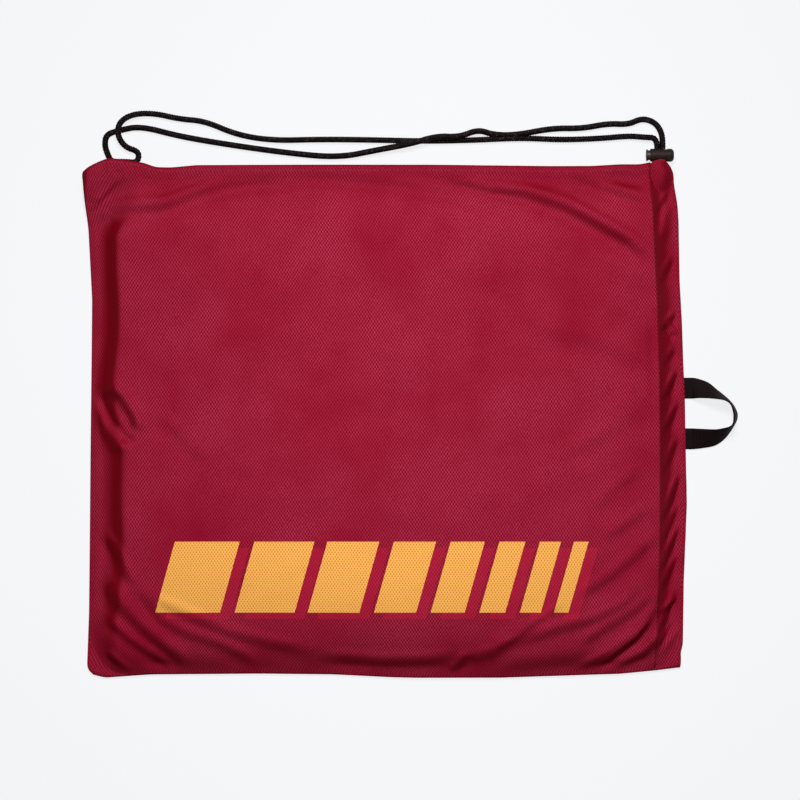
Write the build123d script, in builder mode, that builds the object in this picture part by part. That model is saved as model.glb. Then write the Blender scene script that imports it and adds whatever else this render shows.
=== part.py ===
from build123d import *
import os
from math import cos, pi, radians, sin, tan

# Drawstring bag of mesh knit, filled and lying flat. X runs along the mouth, +Y points out of the
# mouth, +Z is up, and the origin is the middle of the flat underside.

# Bag body
BAG_WIDTH = 568.4
BAG_BOTTOM = -242.0
MOUTH_Y = 230.0
FILL_HEIGHT = 38.0
CLOTH = 1.6
SEAM_HEIGHT = 3.0
UNDERSIDE_SETBACK = 7.0
MOUTH_ROUNDING = 10.0

# Upper side of the bag: share of the fill height, setback of the sides, of the bottom and of the
# mouth, and corner radius. The cloth flares out flat at the seam and is steep above it.
UPPER_LEVELS = (
    (0.15, 8.0, 6.0, 0.5, 16.0),
    (0.40, 14.0, 15.0, 4.0, 40.0),
    (0.55, 18.0, 21.0, 10.0, 62.0),
    (0.70, 22.5, 28.0, 19.0, 82.0),
    (0.85, 28.5, 37.0, 34.0, 102.0),
    (0.95, 35.0, 46.0, 50.0, 116.0),
    (1.00, 46.0, 62.0, 74.0, 130.0),
)
SEAM_CORNER = 12.0

# Seam between the front panel and the side gusset, as set in from the bag's right side
GUSSET_SEAM_MOUTH = 33.7
GUSSET_SEAM_MIDDLE = 24.2
GUSSET_SEAM_BOTTOM = 27.7

# Drawcord and the casings that hold it
CORD = 5.0
CASING_PLAY = 0.2
CASING_CLOTH = 0.9
CASING_WIDTH = 12.0
LIP_GAP = 7.2
FLOOR_GAP = 0.2
CASING_END_INSET = 36.2
SHOULDER_RUN = 52.0
FAR_SHOULDER_RUN = 71.0
FOLD_INSET = 3.2
FOLD_RADIUS = 5.2
FOLD_STRAIGHT = 0.8
NEAR_END_DROP = 7.4
CASING_SHOULDER_RADIUS = 150.0

# Ear of cloth that stands up at the far corner, and the gathered corner where both strands leave
EAR_LOW = 14.6
EAR_CLOTH = 1.6
EAR_START = 3.0
EAR_LENGTH = 41.0
EAR_PEAK_RUN = 10.5
EAR_RISE = 7.0
GATHER_HEIGHT = 15.8
GATHER_CLOTH = 0.9
GATHER_PEAK = 6.4
GATHER_PEAK_WIDTH = 8.0
GATHER_SHOULDER = 11.5

# Cord lock
LOCK_INSET = 24.5
LOCK_STANDOFF = 10.0
LOCK_DIAMETER = 12.4
BARREL_LENGTH = 22.3
BARREL_WALL = 1.4
BARREL_END_WALL = 1.5
BARREL_END_ROUNDING = 3.4
BARREL_OPEN_END = -9.15
PLUNGER_CLEARANCE = 0.09
PLUNGER_TRAVEL = 2.4
BUTTON_GAP = 2.6
BUTTON_THICKNESS = 1.4
BUTTON_DIAMETER = 11.4
PASSAGE_HEIGHT = 6.4
STRAND_CLEARANCE = 0.3
STRAND_GAP = 0.1
WEB_THICKNESS = 1.7
SPRING_WIRE = 0.7
SPRING_RADIUS = 3.0
SPRING_TURNS = 2.0
SPRING_SEAT_GAP = 0.05

# Handle loop of flat webbing
WEBBING_WIDTH = 20.0
WEBBING = 1.6
HANDLE_HINGE_OUT = 2.2
HANDLE_HINGE_GAP = 0.5
HANDLE_SEWN_LENGTH = 14.0
HANDLE_MIDDLE = 7.15
HANDLE_LEG_SPREAD = 48.1
HANDLE_REACH = 47.3
HANDLE_FLAT_ROOT = 5.0
SEAM_SLIT_CLEARANCE = 0.05

lock_z = FLOOR_GAP + LOCK_DIAMETER / 2 + 0.1
casing_height = CORD + 2 * CASING_PLAY + 2 * CASING_CLOTH
side_x = BAG_WIDTH / 2
casing_edge = MOUTH_Y + CASING_WIDTH
casing_y = MOUTH_Y + CASING_WIDTH / 2
casing_end = side_x - CASING_END_INSET
fold_x = FOLD_INSET - side_x
lock_x = side_x - LOCK_INSET
lock_y = casing_edge + LOCK_STANDOFF
hinge_x = side_x + HANDLE_HINGE_OUT
upper_leg = HANDLE_MIDDLE + HANDLE_LEG_SPREAD / 2
lower_leg = HANDLE_MIDDLE - HANDLE_LEG_SPREAD / 2
low_lip_z = FLOOR_GAP + casing_height / 2
high_lip_z = low_lip_z + casing_height + LIP_GAP
fold_top_z = low_lip_z + 2 * FOLD_RADIUS + FOLD_STRAIGHT
fold_middle_z = (low_lip_z + fold_top_z) / 2
strand_offset = (CORD + STRAND_GAP) / 2

os.makedirs("parts", exist_ok=True)


# ---------------------------------------------------------------- bag body

def bag_levels(inset):
    """Height, half width, bottom, mouth side and corner radius of each level, inset from the outside."""
    half = side_x - inset
    bottom = BAG_BOTTOM + inset
    mouth = MOUTH_Y + MOUTH_ROUNDING - inset
    levels = [
        (inset, half - UNDERSIDE_SETBACK, bottom + UNDERSIDE_SETBACK, mouth - UNDERSIDE_SETBACK, SEAM_CORNER),
        (max(SEAM_HEIGHT, 2 * inset), half, bottom, mouth, SEAM_CORNER),
    ]
    for share, sides, low, high, corner in UPPER_LEVELS:
        z = share * FILL_HEIGHT - inset
        levels.append((z, half - sides, bottom + low, mouth - high, corner))
    return levels


def bag_form(inset):
    """The rounded body of the filled bag, as one solid."""
    with BuildPart() as form:
        for z, half, bottom, mouth, corner in bag_levels(inset):
            with BuildSketch(Plane.XY.offset(z)):
                with Locations((0, (bottom + mouth) / 2)):
                    RectangleRounded(2 * half, mouth - bottom, corner)
        loft(ruled=True)
    return form.part


def beyond_gusset_seam(low, high):
    """Everything to the right of the gusset seam between two heights."""
    with BuildPart() as region:
        with BuildSketch(Plane.XY.offset(low)):
            with BuildLine():
                seam = ThreePointArc(
                    (side_x - GUSSET_SEAM_BOTTOM, BAG_BOTTOM - 20),
                    (side_x - GUSSET_SEAM_MIDDLE, 0),
                    (side_x - GUSSET_SEAM_MOUTH, MOUTH_Y + 20),
                )
                Polyline(seam @ 1, (BAG_WIDTH, MOUTH_Y + 20), (BAG_WIDTH, BAG_BOTTOM - 20), seam @ 0)
            make_face()
        extrude(amount=high - low)
    return region.part


outer_form = bag_form(0)
inner_form = bag_form(CLOTH)
span = 2 * BAG_WIDTH

with BuildPart() as cloth_shell:
    add(outer_form)
    add(inner_form, mode=Mode.SUBTRACT)
    with BuildSketch(Plane.XZ.offset(-MOUTH_Y)):
        Rectangle(span, span)
    extrude(amount=-span, mode=Mode.SUBTRACT)

with BuildPart() as sewn_ends:
    for leg_y in (upper_leg, lower_leg):
        with BuildSketch(Plane.XY.offset(SEAM_HEIGHT - WEBBING / 2)):
            with Locations((hinge_x - WEBBING / 2 - HANDLE_HINGE_GAP, leg_y)):
                Rectangle(HANDLE_SEWN_LENGTH, WEBBING_WIDTH, align=(Align.MAX, Align.CENTER))
        extrude(amount=WEBBING)

with BuildPart() as seam_slits:
    for leg_y in (upper_leg, lower_leg):
        with BuildSketch(Plane.XY.offset(SEAM_HEIGHT - WEBBING / 2 - SEAM_SLIT_CLEARANCE)):
            with Locations((hinge_x, leg_y)):
                Rectangle(
                    HANDLE_SEWN_LENGTH + 2 * WEBBING,
                    WEBBING_WIDTH + 2 * SEAM_SLIT_CLEARANCE,
                    align=(Align.MAX, Align.CENTER),
                )
        extrude(amount=WEBBING + 2 * SEAM_SLIT_CLEARANCE)

with BuildPart() as back_panel:
    add(cloth_shell.part)
    split(bisect_by=Plane.XY.offset(SEAM_HEIGHT), keep=Keep.BOTTOM)
    add(seam_slits.part, mode=Mode.SUBTRACT)

with BuildPart() as front_panel:
    add(cloth_shell.part)
    split(bisect_by=Plane.XY.offset(SEAM_HEIGHT), keep=Keep.TOP)
    add(beyond_gusset_seam(0, 2 * FILL_HEIGHT), mode=Mode.SUBTRACT)

with BuildPart() as side_gusset:
    add(cloth_shell.part)
    split(bisect_by=Plane.XY.offset(SEAM_HEIGHT), keep=Keep.TOP)
    add(beyond_gusset_seam(0, 2 * FILL_HEIGHT), mode=Mode.INTERSECT)
    add(seam_slits.part, mode=Mode.SUBTRACT)

# ---------------------------------------------------------------- casings round the mouth

near_end = (casing_end, casing_y, high_lip_z - NEAR_END_DROP)
high_line = [
    near_end,
    (casing_end - SHOULDER_RUN, casing_y, high_lip_z),
    (fold_x + FAR_SHOULDER_RUN, casing_y, high_lip_z),
    (fold_x, casing_y, fold_top_z),
    (fold_x, casing_y, fold_middle_z),
]
low_line = [
    (fold_x, casing_y, fold_middle_z),
    (fold_x, casing_y, low_lip_z),
    (casing_end, casing_y, low_lip_z),
]


def casing_tube(points, corner_radii):
    """A flat tube of cloth with the cord's channel inside, along points in the plane of the mouth."""
    with BuildPart() as tube:
        with BuildLine():
            route = FilletPolyline(*points, radius=corner_radii)
        start = Plane(route @ 0, x_dir=(0, 1, 0), z_dir=route % 0)
        with BuildSketch(start):
            SlotOverall(CASING_WIDTH, casing_height)
        sweep(path=route)
        with BuildSketch(start):
            SlotOverall(CASING_WIDTH - 2 * CASING_CLOTH, casing_height - 2 * CASING_CLOTH)
        sweep(path=route, mode=Mode.SUBTRACT)
    return tube.part


with BuildPart() as front_casing:
    add(casing_tube(high_line, [CASING_SHOULDER_RADIUS, CASING_SHOULDER_RADIUS, FOLD_RADIUS]))
    with BuildSketch(Plane.XY.offset(EAR_LOW)):
        with BuildLine():
            near = fold_x + EAR_START
            far = near + EAR_LENGTH
            rise = Spline((near, casing_edge), (near + EAR_PEAK_RUN, casing_edge + EAR_RISE), (far, casing_edge))
            inner_edge = casing_edge - CASING_CLOTH
            Polyline(rise @ 1, (far, inner_edge), (near, inner_edge), rise @ 0)
        make_face()
    extrude(amount=EAR_CLOTH)

with BuildPart() as back_casing:
    add(casing_tube(low_line, [FOLD_RADIUS]))


def gather_outline(inset, near_x):
    """Plan of the gathered corner, inset by the cloth."""
    peak_y = casing_edge + GATHER_PEAK
    with BuildLine() as line:
        Polyline(
            (near_x, MOUTH_Y),
            (near_x, casing_edge + 1 - inset),
            (lock_x - GATHER_PEAK_WIDTH / 2, peak_y - inset),
            (lock_x + GATHER_PEAK_WIDTH / 2, peak_y - inset),
            (side_x - GATHER_SHOULDER - inset, casing_y - inset),
            (side_x - 1 - 1.6 * inset, MOUTH_Y),
            close=True,
        )
    return line.line


with BuildPart() as corner_gather:
    with BuildSketch(Plane.XY.offset(FLOOR_GAP)):
        add(gather_outline(0, casing_end))
        make_face()
    extrude(amount=GATHER_HEIGHT - FLOOR_GAP)
    upper_rim = corner_gather.edges().group_by(Axis.Z)[-1]
    fillet(upper_rim.filter_by(lambda e: e.center().X > casing_end + 1 and e.center().Y > MOUTH_Y + 1), 1.0)
    with BuildSketch(Plane.XY.offset(FLOOR_GAP + GATHER_CLOTH)):
        add(gather_outline(GATHER_CLOTH, casing_end - 1))
        make_face()
    extrude(amount=GATHER_HEIGHT - FLOOR_GAP - 2 * GATHER_CLOTH, mode=Mode.SUBTRACT)
    with BuildSketch(Plane.XZ.offset(-(lock_y - LOCK_DIAMETER / 2 - STRAND_CLEARANCE))):
        with Locations((lock_x, 0)):
            Rectangle(4 * LOCK_DIAMETER, 2 * (GATHER_HEIGHT - GATHER_CLOTH))
    extrude(amount=-LOCK_DIAMETER, mode=Mode.SUBTRACT)

# ---------------------------------------------------------------- drawcord


def corner_radii(points):
    """Each corner's arc is 0.45 of its shorter run, divided by the tangent of half the turn."""
    radii = []
    for before, here, after in zip(points, points[1:], points[2:]):
        run_in = Vector(*here) - Vector(*before)
        run_out = Vector(*after) - Vector(*here)
        turn = radians(run_in.get_angle(run_out))
        radii.append(0.45 * min(run_in.length, run_out.length) / tan(turn / 2))
    return radii


def cord_tube(name, points, radii):
    """A plain round tube along the route; prints its bends, length and volume."""
    with BuildPart() as tube:
        with BuildLine():
            route = FilletPolyline(*points, radius=radii)
        with BuildSketch(Plane(route @ 0, z_dir=route % 0)):
            Circle(CORD / 2)
        sweep(path=route)
    length = route.length
    ratio = tube.part.volume / (pi * CORD**2 / 4 * length)
    print(name, "length", round(length, 1), "volume / (section x length)", round(ratio, 4))
    print(name, "radii", [round(radius, 1) for radius in radii])
    return tube.part


strand_right = lock_x + strand_offset
strand_left = lock_x - strand_offset
lock_out = lock_y + LOCK_DIAMETER / 2 + 0.2
floor_z = CORD / 2 + 0.1
over_z = floor_z + CORD + 0.3

loop_points = [
    (strand_right, lock_out, lock_z),
    (strand_right, 265.6, lock_z),
    (261.4, 273.4, 4.4),
    (257.4, 281.0, 2.9),
    (250.4, 285.6, floor_z),
    (241.4, 286.8, floor_z),
    (229.8, 281.4, floor_z),
    (210.6, 282.4, floor_z),
    (186.0, 277.6, floor_z),
    (157.6, 278.0, floor_z),
    (124.0, 271.4, floor_z),
    (102.0, 271.6, 2.8),
    (87.4, 276.6, 4.2),
    (69.6, 269.2, 6.8),
    (48.0, 270.2, over_z),
    (24.0, 262.8, over_z),
    (-8.0, 257.2, 4.4),
    (-46.0, 249.8, floor_z),
    (-98.0, 255.0, floor_z),
    (-150.0, 262.4, floor_z),
    (-196.0, 270.2, floor_z),
    (-233.0, 280.0, floor_z),
    (-253.6, 275.8, floor_z),
    (-265.6, 272.0, floor_z),
    (-267.0, 261.6, floor_z),
    (-264.4, 253.8, floor_z),
    (-260.8, 245.8, floor_z),
    (-248.4, 246.4, floor_z),
    (-235.8, 245.0, floor_z),
    (-234.0, 255.8, floor_z),
    (-247.6, 259.6, 4.6),
    (-254.8, 271.4, over_z),
    (-252.6, 283.6, over_z),
    (-240.2, 291.2, 5.6),
    (-220.0, 292.2, 2.8),
    (-196.0, 286.6, floor_z),
    (-172.0, 284.8, floor_z),
    (-142.0, 271.8, floor_z),
    (-108.0, 266.2, floor_z),
    (-62.0, 267.4, floor_z),
    (-14.0, 266.9, floor_z),
    (36.0, 265.6, floor_z),
    (84.0, 266.6, floor_z),
    (128.0, 268.8, floor_z),
    (166.0, 266.8, floor_z),
    (204.0, 268.2, floor_z),
    (230.0, 270.6, floor_z),
    (245.4, 269.2, 4.6),
    (strand_left, 268.4, lock_z),
    (strand_left, lock_out, lock_z),
]

held_points = [
    (strand_left, lock_out, lock_z),
    (strand_left, lock_y - LOCK_DIAMETER / 2, lock_z),
    (strand_left, casing_y, low_lip_z),
    (casing_end - 8, casing_y, low_lip_z + 0.05),
    (fold_x, casing_y, low_lip_z),
    (fold_x, casing_y, fold_top_z),
    (fold_x + FAR_SHOULDER_RUN, casing_y, high_lip_z),
    (casing_end - SHOULDER_RUN, casing_y, high_lip_z),
    near_end,
    (strand_right, casing_y, near_end[2] - 1.6),
    (strand_right, lock_y - LOCK_DIAMETER / 2, lock_z),
    (strand_right, lock_out, lock_z),
]
held_radii = [
    8.0,
    7.0,
    30.0,
    FOLD_RADIUS,
    FOLD_RADIUS,
    CASING_SHOULDER_RADIUS,
    CASING_SHOULDER_RADIUS,
    30.0,
    6.0,
    8.0,
]

drawcord_loop = cord_tube("drawcord_loop", loop_points, corner_radii(loop_points))
drawcord_casing = cord_tube("drawcord_casing", held_points, held_radii)

# ---------------------------------------------------------------- cord lock

lock_plane = Plane(origin=(lock_x, lock_y, lock_z), x_dir=(1, 0, 0), z_dir=(0, -1, 0))
lock_axis = Axis((lock_x, lock_y, lock_z), (1, 0, 0))
passage_half = CORD + STRAND_GAP / 2 + STRAND_CLEARANCE
passage_width = 2 * passage_half + PLUNGER_TRAVEL
barrel_slot_x = PLUNGER_TRAVEL / 2
plunger_slot_x = -PLUNGER_TRAVEL / 2
barrel_closed_end = BARREL_OPEN_END + BARREL_LENGTH
bore_radius = LOCK_DIAMETER / 2 - BARREL_WALL
plunger_radius = bore_radius - PLUNGER_CLEARANCE
button_face = BARREL_OPEN_END - BUTTON_GAP
web_end = passage_half + WEB_THICKNESS
spring_space = barrel_closed_end - BARREL_END_WALL - web_end


def passage(x):
    """Round-ended slot right through the lock, for the two strands side by side."""
    with BuildPart() as slot:
        with BuildSketch(lock_plane):
            with Locations((x, 0)):
                SlotOverall(passage_width, PASSAGE_HEIGHT)
        extrude(amount=LOCK_DIAMETER, both=True)
    return slot.part


with BuildPart() as barrel:
    with BuildSketch(lock_plane):
        with Locations((BARREL_OPEN_END, 0)):
            Rectangle(BARREL_LENGTH, LOCK_DIAMETER / 2, align=(Align.MIN, Align.MIN))
    revolve(axis=lock_axis)
    end_rims = barrel.edges().filter_by(GeomType.CIRCLE).sort_by(Axis.X)
    fillet(end_rims[-1], BARREL_END_ROUNDING)
    fillet(barrel.edges().filter_by(GeomType.CIRCLE).sort_by(Axis.X)[0], 0.5)
    with BuildSketch(lock_plane):
        with Locations((BARREL_OPEN_END, 0)):
            Rectangle(BARREL_LENGTH - BARREL_END_WALL, bore_radius, align=(Align.MIN, Align.MIN))
    revolve(axis=lock_axis, mode=Mode.SUBTRACT)
    add(passage(barrel_slot_x), mode=Mode.SUBTRACT)

with BuildPart() as plunger:
    with BuildSketch(lock_plane):
        with Locations((button_face, 0)):
            Rectangle(web_end - button_face, plunger_radius, align=(Align.MIN, Align.MIN))
    revolve(axis=lock_axis)
    with BuildSketch(lock_plane):
        with Locations((button_face, 0)):
            Rectangle(BUTTON_THICKNESS, BUTTON_DIAMETER / 2, align=(Align.MAX, Align.MIN))
    revolve(axis=lock_axis)
    button_rim = plunger.edges().filter_by(GeomType.CIRCLE).sort_by(Axis.X)[0]
    fillet(button_rim, 0.8 * BUTTON_THICKNESS)
    add(passage(plunger_slot_x), mode=Mode.SUBTRACT)

spring_height = spring_space - SPRING_WIRE - 2 * SPRING_SEAT_GAP
spring_start = lock_x + web_end + SPRING_SEAT_GAP + SPRING_WIRE / 2
with BuildPart() as spring:
    with BuildLine():
        coil = Helix(
            pitch=spring_height / SPRING_TURNS,
            height=spring_height,
            radius=SPRING_RADIUS,
            center=(spring_start, lock_y, lock_z),
            direction=(1, 0, 0),
        )
    with BuildSketch(Plane(coil @ 0, z_dir=coil % 0)):
        RegularPolygon(SPRING_WIRE / 2, side_count=6)
    sweep(path=coil, is_frenet=True)

# ---------------------------------------------------------------- handle loop

# Outer edge of the webbing from leg to leg, as shares of the reach and of the half breadth, then its
# lean from flat on the floor and its heading in degrees
HANDLE_STATIONS = (
    (0.245, 0.970, 15.0, -12.0),
    (0.436, 0.860, 32.0, -32.0),
    (0.615, 0.648, 54.0, -43.0),
    (0.829, 0.389, 72.0, -46.0),
    (0.977, 0.113, 76.0, -66.0),
    (0.998, -0.104, 76.0, -92.0),
    (0.943, -0.327, 74.0, -118.0),
    (0.808, -0.598, 66.0, -132.0),
    (0.647, -0.809, 50.0, -145.0),
    (0.457, -0.938, 32.0, -163.0),
    (0.245, -0.994, 14.0, -176.0),
)


def webbing_section(edge_x, edge_y, edge_z, lean, heading):
    """Plane through the middle of the webbing, its width along x and its length along the heading."""
    along = Vector(cos(radians(heading)), sin(radians(heading)), 0)
    inward = Vector(along.Y, -along.X, 0)
    across = inward * cos(radians(lean)) + Vector(0, 0, sin(radians(lean)))
    middle = Vector(edge_x, edge_y, edge_z) + across * (WEBBING_WIDTH / 2)
    return Plane(origin=middle, x_dir=across, z_dir=along)


edge_z = FLOOR_GAP + WEBBING / 2
half_breadth = (HANDLE_LEG_SPREAD + WEBBING_WIDTH) / 2
upper_edge = HANDLE_MIDDLE + half_breadth
lower_edge = HANDLE_MIDDLE - half_breadth
root_x = hinge_x + HANDLE_FLAT_ROOT
handle_planes = [
    webbing_section(hinge_x, upper_edge, SEAM_HEIGHT, 0, 0),
    webbing_section(root_x, upper_edge, SEAM_HEIGHT - 0.8, 2, 0),
]
for reach, breadth, lean, heading in HANDLE_STATIONS:
    edge_x = hinge_x + reach * HANDLE_REACH
    edge_y = HANDLE_MIDDLE + breadth * half_breadth
    handle_planes.append(webbing_section(edge_x, edge_y, edge_z, lean, heading))
handle_planes.append(webbing_section(root_x, lower_edge, SEAM_HEIGHT - 0.8, 2, 180))
handle_planes.append(webbing_section(hinge_x, lower_edge, SEAM_HEIGHT, 0, 180))

with BuildPart() as handle_loop:
    for plane in handle_planes:
        with BuildSketch(plane):
            Rectangle(WEBBING_WIDTH, WEBBING)
    loft()
    for leg_y in (upper_leg, lower_leg):
        with BuildSketch(Plane.XZ.offset(-(leg_y - WEBBING_WIDTH / 2))):
            with Locations((hinge_x, SEAM_HEIGHT)):
                Circle(WEBBING / 2)
        extrude(amount=-WEBBING_WIDTH)

# ---------------------------------------------------------------- files

upper_end, lower_end = sewn_ends.solids().sort_by(Axis.Y, reverse=True)
pieces = {
    "front_panel": front_panel.part,
    "back_panel": back_panel.part,
    "side_gusset": side_gusset.part,
    "front_casing": front_casing.part,
    "back_casing": back_casing.part,
    "corner_gather": corner_gather.part,
    "drawcord_loop": drawcord_loop,
    "drawcord_casing": drawcord_casing,
    "cord_lock_barrel": barrel.part,
    "cord_lock_plunger": plunger.part,
    "cord_lock_spring": spring.part,
    "handle_loop": handle_loop.part,
    "handle_upper_end": upper_end,
    "handle_lower_end": lower_end,
}
for name, piece in pieces.items():
    piece.label = name
    export_step(piece, f"parts/{name}.step")
    box = piece.bounding_box()
    print(name, "volume", round(piece.volume), "solids", len(piece.solids()),
          "box", [round(v, 1) for v in (*box.min, *box.max)], "valid", piece.is_valid)
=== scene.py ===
# %% [markdown]
# # A drawstring bag of crimson mesh knit, lying on its back
#
# The bag is filled with something flat and soft. A cord runs through a sewn tunnel along its mouth,
# both of its ends leave at one corner through a sprung cord lock, and a loop of webbing is sewn into
# the side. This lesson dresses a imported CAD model: the rigid pieces keep their CAD shape and get a
# finish, and the soft pieces are modelled anew over their plain solids.

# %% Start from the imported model
import math

import bpy
import numpy as np
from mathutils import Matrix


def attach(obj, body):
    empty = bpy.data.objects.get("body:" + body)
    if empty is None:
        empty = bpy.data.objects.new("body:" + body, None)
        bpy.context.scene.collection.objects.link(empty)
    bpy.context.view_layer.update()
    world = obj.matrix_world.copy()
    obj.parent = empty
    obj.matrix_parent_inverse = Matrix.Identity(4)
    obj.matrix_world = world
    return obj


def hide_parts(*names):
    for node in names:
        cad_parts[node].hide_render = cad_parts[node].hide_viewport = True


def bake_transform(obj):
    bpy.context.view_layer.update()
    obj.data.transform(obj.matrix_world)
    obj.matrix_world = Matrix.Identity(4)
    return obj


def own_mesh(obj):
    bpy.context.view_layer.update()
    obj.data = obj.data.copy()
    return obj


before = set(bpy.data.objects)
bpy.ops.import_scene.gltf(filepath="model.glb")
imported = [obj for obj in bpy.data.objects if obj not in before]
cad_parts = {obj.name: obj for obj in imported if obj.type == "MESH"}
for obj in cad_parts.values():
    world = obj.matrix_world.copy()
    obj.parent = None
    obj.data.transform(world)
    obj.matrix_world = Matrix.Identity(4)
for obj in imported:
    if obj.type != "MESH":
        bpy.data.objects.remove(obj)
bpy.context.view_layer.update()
MM = 0.001
print("nodes", len(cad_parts))

# %% [markdown]
# ## Small helpers for finishes
#
# A material in Blender is a little graph of nodes. Building it in code is tidier when one helper adds a
# node and another does arithmetic, so that each finish below reads like a recipe. Colours are written
# as they look on a screen, and turned into the linear values that the shader wants.


# %% Node helpers
def linear(red, green, blue):
    """A screen colour of 0 to 255 as linear RGBA."""
    out = []
    for value in (red, green, blue):
        share = value / 255
        out.append(share / 12.92 if share <= 0.04045 else ((share + 0.055) / 1.055) ** 2.4)
    return (*out, 1.0)


class Graph:
    """A node graph, with short ways to add to it."""

    def __init__(self, tree):
        self.tree = tree

    def put(self, socket, value):
        if isinstance(value, bpy.types.NodeSocket):
            self.tree.links.new(value, socket)
        else:
            socket.default_value = value

    def node(self, kind, inputs=None, **settings):
        """A new node, its inputs filled in by name or number."""
        made = self.tree.nodes.new(kind)
        for key, value in settings.items():
            setattr(made, key, value)
        for key, value in (inputs or {}).items():
            self.put(made.inputs[key], value)
        return made

    def math(self, operation, *values):
        return self.node("ShaderNodeMath", dict(enumerate(values)), operation=operation).outputs[0]

    def times(self, *values):
        return self.math("MULTIPLY", *values)

    def ramp(self, value, low, high, to=(0.0, 1.0), curve="SMOOTHSTEP"):
        """The first value of to below low, the second above high, and a curve between."""
        ends = {"Value": value, "From Min": low, "From Max": high, "To Min": to[0], "To Max": to[1]}
        return self.node("ShaderNodeMapRange", ends, interpolation_type=curve).outputs["Result"]


class Recipe(Graph):
    """A material's graph, from the piece's own coordinates to one shader."""

    def __init__(self, name, roughness, specular=0.5):
        self.material = bpy.data.materials.new(name)
        self.material.use_nodes = True
        super().__init__(self.material.node_tree)
        self.shader = self.tree.nodes["Principled BSDF"]
        self.shader.inputs["Roughness"].default_value = roughness
        self.shader.inputs["Specular IOR Level"].default_value = specular
        self.place = self.node("ShaderNodeTexCoord").outputs

    def split(self, coordinate):
        return self.node("ShaderNodeSeparateXYZ", {0: self.place[coordinate]}).outputs

    def noise(self, scale, detail=2.0, roughness=0.55):
        inputs = {"Scale": scale, "Detail": detail, "Roughness": roughness}
        return self.node("ShaderNodeTexNoise", {"Vector": self.place["Object"], **inputs}).outputs["Fac"]

    def mix(self, share, first, second):
        return self.node("ShaderNodeMix", {0: share, 6: first, 7: second}, data_type="RGBA").outputs[2]

    def colour(self, value):
        self.put(self.shader.inputs["Base Color"], value)

    def flecked(self, fleck, low, high, dark, light):
        """Colours the piece dark where the fleck is below low, and light where it is above high."""
        self.colour(self.mix(self.ramp(fleck, low, high), linear(*dark), linear(*light)))

    def bump(self, height, distance, strength):
        inputs = {"Strength": strength, "Distance": distance, "Height": height}
        self.put(self.shader.inputs["Normal"], self.node("ShaderNodeBump", inputs).outputs[0])


# %% [markdown]
# ## The mesh knit
#
# The cloth is a polyester mesh: fine rows of loops and holes, each row set half a step from the next.
# They are far too many to model, so the finish draws them. The pattern reads the cloth's own UV map,
# which is laid out in millimetres of cloth, so that the rows follow every fold instead of sliding over
# it. One wave across times one wave up gives exactly such staggered rows.


# %% The mesh knit finish
KNIT_STEP = 2.83
KNIT_ROWS = 4.27
# Painted shade: the knit is drawn darker from here up to the mouth.
MOUTH_SHADE_START = 206.0
MOUTH_SHADE_FULL = 236.0
CRIMSON = linear(145, 9, 40)
CRIMSON_CLOUD = linear(141, 7, 37)
# Drawn in the knit's holes and towards the mouth as painted shade.
CRIMSON_DEEP = linear(114, 2, 22)
# Painted sheen on the tops of the yarn loops.
CRIMSON_PAINTED_SHEEN = linear(188, 58, 88)
# Painted shade for cloth that stands steeply.
CRIMSON_STEEP_SHADE = linear(124, 0, 20)


def wave(recipe, along, length):
    """A cosine wave of a length in millimetres."""
    return recipe.math("COSINE", recipe.times(along, 2 * math.pi / length))


def knit_recipe(name):
    """The knit's recipe with its colour, and its loops: 1 on a loop of yarn, 0 in the hole beside it."""
    recipe = Recipe(name, roughness=0.85, specular=0.04)
    across, up, _ = recipe.split("UV")
    loops = recipe.times(wave(recipe, across, KNIT_STEP), wave(recipe, up, KNIT_ROWS))
    loops = recipe.ramp(loops, -0.75, 0.85)
    clouds = recipe.noise(14.0, 3.0)
    yarn = recipe.noise(1100.0)
    patches = recipe.noise(16.0)
    ground = recipe.mix(recipe.ramp(clouds, 0.3, 0.75), CRIMSON, CRIMSON_CLOUD)
    # Painted shade: the holes between the loops are drawn in the deep crimson, more deeply in some patches
    # than in others.
    dark = recipe.mix(recipe.math("ADD", recipe.times(patches, 0.3), 0.35), ground, CRIMSON_DEEP)
    # Painted sheen: the yarn loops are drawn paler in patches, as if they were catching the light.
    painted_sheen = recipe.times(recipe.ramp(yarn, 0.1, 0.7), recipe.ramp(patches, 0.0, 0.8))
    colour = recipe.mix(loops, dark, recipe.mix(painted_sheen, ground, CRIMSON_PAINTED_SHEEN))
    # Painted shade: the knit is drawn darker over the last 30 mm of cloth towards the mouth.
    mouth_painted_shade = recipe.times(recipe.ramp(up, MOUTH_SHADE_START, MOUTH_SHADE_FULL), 0.25)
    colour = recipe.mix(mouth_painted_shade, colour, CRIMSON_DEEP)
    # Painted shade: the knit is drawn darker the more steeply the cloth stands, read from a value stored on
    # each point.
    turned = recipe.node("ShaderNodeAttribute", attribute_name="steep_painted_shade")
    colour = recipe.mix(turned.outputs["Fac"], colour, CRIMSON_STEEP_SHADE)
    recipe.bump(recipe.math("ADD", loops, recipe.times(yarn, 0.3)), 0.0002, 0.4)
    return recipe, colour, loops


knit, knit_colour, _ = knit_recipe("mesh_knit")
knit.colour(knit_colour)
print("loops", KNIT_STEP, "mm apart in rows", KNIT_ROWS / 2, "mm apart")

# %% [markdown]
# ## The printed front
#
# The front carries one printed band low down. Here it is a plain row of slanted bars that grow
# narrower from left to right, with a paler shadow of the same bars beside them, as transfer prints on
# mesh often have. A colour ramp with hard steps draws all the bars at once from one slanted
# coordinate, which costs less than modelling them and keeps the dimples showing through.

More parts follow.
